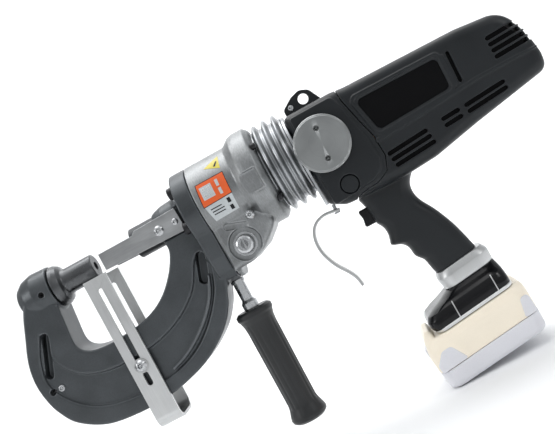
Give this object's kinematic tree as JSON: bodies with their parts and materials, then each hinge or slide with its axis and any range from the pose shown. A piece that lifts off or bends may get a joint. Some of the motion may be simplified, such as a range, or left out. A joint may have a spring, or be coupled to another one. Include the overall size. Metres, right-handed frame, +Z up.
{
  "type": "hydraulic hole puncher",
  "caption": "Cordless electro-hydraulic punching tool: C-shaped frame with die and ram, finned barrel, pump head, pistol grip, auxiliary handle and slide-on battery.",
  "frame": {"origin": "centre of the bounding box at its lowest level, below the lowest edge of the battery", "axes": "+X along the ram towards the rear of the motor housing, +Z up with the grip below the motor, the left side of the tool at -Y"},
  "size_m": [0.5895, 0.104, 0.3258],
  "materials": {
    "casting_grey": "dark grey satin finish on a cast surface",
    "dark_steel": "dark polished steel",
    "black_screw": "black oxide",
    "bright_steel": "brushed",
    "zinc_sheet": "satin zinc-plated sheet",
    "cast_aluminium": "satin cast and machined",
    "turned_aluminium": "turned, with fine rings",
    "bronze": "machined",
    "black_plastic": "fine matte moulded grain",
    "gloss_black": "gloss",
    "rubber": "matte",
    "cream_plastic": "satin moulded",
    "grey_plastic": "satin moulded",
    "copper": "enamelled winding wire",
    "cell_wrap": "shrink wrap over battery cells",
    "nylon": "plain moulded"
  },
  "bodies": {
    "root": {"c_frame": "casting_grey", "head_bolt_1": "black_screw", "head_bolt_2": "black_screw", "head_bolt_3": "black_screw", "head_bolt_4": "black_screw", "die": "dark_steel", "die_set_screw": "black_screw", "return_spring": "bright_steel", "rod_bush": "bronze", "stripper_left": "bright_steel", "stripper_right": "bright_steel", "stripper_screw_large_left": "bright_steel", "stripper_screw_large_right": "bright_steel", "stripper_screw_small_left": "bright_steel", "stripper_screw_small_right": "bright_steel", "gauge_screw_left": "bright_steel", "gauge_screw_right": "bright_steel", "cylinder_block": "cast_aluminium", "oil_screw": "bright_steel", "finned_barrel": "turned_aluminium", "oil_bladder": "rubber", "pump_flange": "turned_aluminium", "pump_body": "cast_aluminium", "end_cap_left": "turned_aluminium", "end_cap_right": "turned_aluminium", "plunger_left": "bright_steel", "plunger_right": "bright_steel", "motor_stator": "dark_steel", "armature_bearing_front": "bright_steel", "armature_bearing_rear": "bright_steel", "gear_cover_left": "black_plastic", "gear_cover_right": "black_plastic", "motor_housing_left": "black_plastic", "motor_housing_right": "black_plastic", "side_plate_left": "gloss_black", "side_plate_right": "gloss_black", "hanging_eye": "black_plastic", "hand_guard": "zinc_sheet", "switch_body": "black_plastic", "trigger_spring": "bright_steel", "grip_band": "zinc_sheet", "battery_adapter": "gloss_black", "handle_stud": "bright_steel", "handle_grip": "rubber"},
    "ram": {"ram": "dark_steel", "punch": "bright_steel", "punch_set_screw": "black_screw", "piston_seal": "rubber"},
    "trigger": {"trigger": "gloss_black"},
    "release_knob": {"release_knob": "cast_aluminium"},
    "gauge": {"gauge": "zinc_sheet"},
    "battery": {"battery_upper_case": "cream_plastic", "battery_lower_case": "grey_plastic", "battery_cells": "cell_wrap"},
    "battery_latch": {"battery_latch": "grey_plastic"},
    "armature": {"armature": "copper", "cooling_fan": "nylon"},
    "eccentric": {"eccentric_shaft": "dark_steel", "drive_gear": "dark_steel"}
  },
  "joints": [
    {"name": "ram_slide", "type": "slide", "parent": "root", "child": "ram", "axis": [-1, 0, 0], "range_m": [0, 0.018], "deforming": ["return_spring"]},
    {"name": "trigger_slide", "type": "slide", "parent": "root", "child": "trigger", "axis": [1, 0, 0], "range_m": [0, 0.0045], "stiffness_N_per_m": 300, "deforming": ["trigger_spring"]},
    {"name": "release_knob_turn", "type": "hinge", "parent": "root", "child": "release_knob", "pos_m": [-0.0347, 0, 0.2176], "axis": [0, 1, 0], "range_deg": [0, 90]},
    {"name": "gauge_slide", "type": "slide", "parent": "root", "child": "gauge", "axis": [0, 0, -1], "range_m": [0, 0.06]},
    {"name": "battery_slide", "type": "slide", "parent": "root", "child": "battery", "axis": [-0.9914, 0, -0.1305], "range_m": [0, 0.1]},
    {"name": "battery_latch_press", "type": "slide", "parent": "battery", "child": "battery_latch", "axis": [0.9914, 0, 0.1305], "range_m": [0, 0.003], "stiffness_N_per_m": 500},
    {"name": "armature_spin", "type": "hinge", "parent": "root", "child": "armature", "pos_m": [0.19, 0, 0.2472], "axis": [1, 0, 0], "continuous": true},
    {"name": "eccentric_spin", "type": "hinge", "parent": "root", "child": "eccentric", "pos_m": [0.1, 0, 0.2661], "axis": [1, 0, 0], "continuous": true}
  ],
  "couplings": [
    {"joint": "eccentric_spin", "follows": "armature_spin", "ratio": -0.4}
  ]
}
